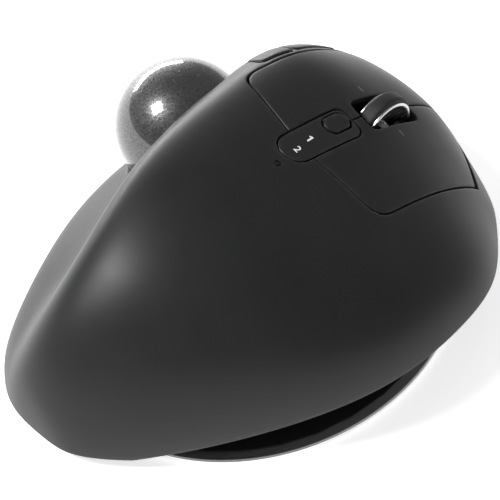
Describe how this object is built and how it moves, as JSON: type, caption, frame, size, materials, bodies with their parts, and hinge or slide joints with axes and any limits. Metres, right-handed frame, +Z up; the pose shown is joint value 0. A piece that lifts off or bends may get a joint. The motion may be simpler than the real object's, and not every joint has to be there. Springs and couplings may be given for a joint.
{
  "type": "trackball mouse",
  "caption": "Ergonomic wireless trackball mouse with a thumb ball, sculpted matte shell, tilting steel base plate, hinged keys and a tilting scroll wheel.",
  "frame": {"origin": "centre of the flat underside of the rubber mat, on the desk under the middle of the shell", "axes": "+X towards the little finger side, +Y towards the key end, +Z up"},
  "size_m": [0.1018, 0.1324, 0.052],
  "materials": {
    "soft_touch_shell": "soft matte rubberised coating on moulded plastic",
    "under_plastic": "satin black moulded plastic",
    "panel_gloss": "smooth black plastic",
    "light_guide": "milky light pipe",
    "ball_pearl": "grey resin with fine metallic speckles under a clear coat",
    "bead_ceramic": "polished ceramic",
    "lens_clear": "dark clear lens plastic",
    "wheel_rubber": "fine ribbed black rubber",
    "wheel_silver": "satin silver",
    "bright_pin": "bright drawn steel",
    "base_steel": "polished chamfer on brushed steel",
    "base_rubber": "matte non-slip rubber",
    "liner": "thin matte black liner",
    "magnet": "nickel plated",
    "switch_metal": "stamped steel shell",
    "switch_plastic": "black switch housing",
    "plunger_red": "red moulded plunger",
    "slider_green": "moulded slider",
    "circuit_board": "green solder mask",
    "battery_foil": "foil pouch",
    "screw_steel": "dark plated steel"
  },
  "bodies": {
    "base": {"base_mat": "base_rubber", "base_plate": "base_steel", "plate_liner": "liner", "hinge_bracket_rear": "base_steel", "hinge_pin_rear": "bright_pin", "hinge_bracket_front": "base_steel", "hinge_pin_front": "bright_pin"},
    "housing": {"top_cover": "soft_touch_shell", "slope_magnet_1": "magnet", "slope_magnet_2": "magnet", "power_switch": "switch_metal", "bottom_case": "under_plastic", "back_switch": "switch_plastic", "forward_switch": "switch_plastic", "back_key_board": "circuit_board", "forward_key_board": "circuit_board", "indicator_panel": "panel_gloss", "light_guide_1": "light_guide", "light_guide_2": "light_guide", "status_light": "light_guide", "indicator_board": "circuit_board", "easy_switch_contact": "switch_plastic", "precision_switch": "switch_plastic", "ball_cup": "under_plastic", "support_bead_1": "bead_ceramic", "support_bead_2": "bead_ceramic", "support_bead_3": "bead_ceramic", "sensor_lens": "lens_clear", "sensor_chip": "switch_plastic", "sensor_board": "circuit_board", "front_frame": "under_plastic", "button_board": "circuit_board", "left_microswitch": "switch_plastic", "right_microswitch": "switch_plastic", "main_board": "circuit_board", "middle_switch": "switch_plastic", "charging_port": "switch_metal", "battery_tray": "under_plastic", "battery": "battery_foil", "flat_magnet_1": "magnet", "flat_magnet_2": "magnet", "case_screw_1": "screw_steel", "case_screw_2": "screw_steel", "case_screw_3": "screw_steel", "case_screw_4": "screw_steel"},
    "ball": {"trackball": "ball_pearl"},
    "left_key_arm": {"left_key": "soft_touch_shell"},
    "right_key_arm": {"right_key": "soft_touch_shell"},
    "back_key_arm": {"back_key": "soft_touch_shell"},
    "forward_key_arm": {"forward_key": "soft_touch_shell"},
    "easy_button": {"easy_switch_button": "soft_touch_shell"},
    "precision_cap": {"precision_button": "soft_touch_shell"},
    "slider": {"power_slider": "slider_green"},
    "cradle": {"wheel_cradle": "under_plastic"},
    "carrier": {"wheel_carrier": "under_plastic"},
    "wheel": {"wheel_tyre": "wheel_rubber", "wheel_hub": "wheel_silver", "wheel_axle": "bright_pin"},
    "left_plunger_pin": {"left_plunger": "plunger_red"},
    "right_plunger_pin": {"right_plunger": "plunger_red"}
  },
  "joints": [
    {"name": "body_tilt", "type": "hinge", "parent": "base", "child": "housing", "pos_m": [0.015, 0, 0.0054], "axis": [0, 1, 0], "range_deg": [0, 20]},
    {"name": "ball_roll", "type": "hinge", "parent": "housing", "child": "ball", "pos_m": [-0.0354, 0.01025, 0.029], "axis": [0, 1, 0], "continuous": true},
    {"name": "left_key_press", "type": "hinge", "parent": "housing", "child": "left_key_arm", "pos_m": [-0.0114, 0.01555, 0.04731], "axis": [-1, 0, 0], "range_deg": [0, 0.8], "stiffness_Nm_per_rad": 3},
    {"name": "right_key_press", "type": "hinge", "parent": "housing", "child": "right_key_arm", "pos_m": [0.0126, 0.01555, 0.04075], "axis": [-1, 0, 0], "range_deg": [0, 0.8], "stiffness_Nm_per_rad": 3},
    {"name": "left_plunger_travel", "type": "slide", "parent": "housing", "child": "left_plunger_pin", "axis": [0, 0, -1], "range_m": [0, 0.0006]},
    {"name": "right_plunger_travel", "type": "slide", "parent": "housing", "child": "right_plunger_pin", "axis": [0, 0, -1], "range_m": [0, 0.0006]},
    {"name": "back_key_press", "type": "slide", "parent": "housing", "child": "back_key_arm", "axis": [0.6, 0, -0.8], "range_m": [0, 0.0004], "stiffness_N_per_m": 1500},
    {"name": "forward_key_press", "type": "slide", "parent": "housing", "child": "forward_key_arm", "axis": [0.6, 0, -0.8], "range_m": [0, 0.0004], "stiffness_N_per_m": 1500},
    {"name": "easy_switch_press", "type": "slide", "parent": "housing", "child": "easy_button", "axis": [0, 0, -1], "range_m": [0, 0.0004], "stiffness_N_per_m": 1500},
    {"name": "precision_press", "type": "slide", "parent": "housing", "child": "precision_cap", "axis": [0.796, -0.0995, -0.597], "range_m": [0, 0.0004], "stiffness_N_per_m": 1500},
    {"name": "power_slide", "type": "slide", "parent": "housing", "child": "slider", "axis": [0, 1, 0], "range_m": [0, 0.004]},
    {"name": "wheel_tilt", "type": "hinge", "parent": "housing", "child": "cradle", "pos_m": [0.0006, 0.04245, 0.02214], "axis": [0, 1, 0], "range_deg": [-4, 4], "stiffness_Nm_per_rad": 1},
    {"name": "wheel_press", "type": "slide", "parent": "cradle", "child": "carrier", "axis": [0, 0, -1], "range_m": [0, 0.0005], "stiffness_N_per_m": 1500},
    {"name": "wheel_spin", "type": "hinge", "parent": "carrier", "child": "wheel", "pos_m": [0.0006, 0.04245, 0.03174], "axis": [1, 0, 0], "continuous": true}
  ],
  "couplings": [
    {"joint": "left_plunger_travel", "follows": "left_key_press", "m_per_rad": 0.0237},
    {"joint": "right_plunger_travel", "follows": "right_key_press", "m_per_rad": 0.0237}
  ]
}
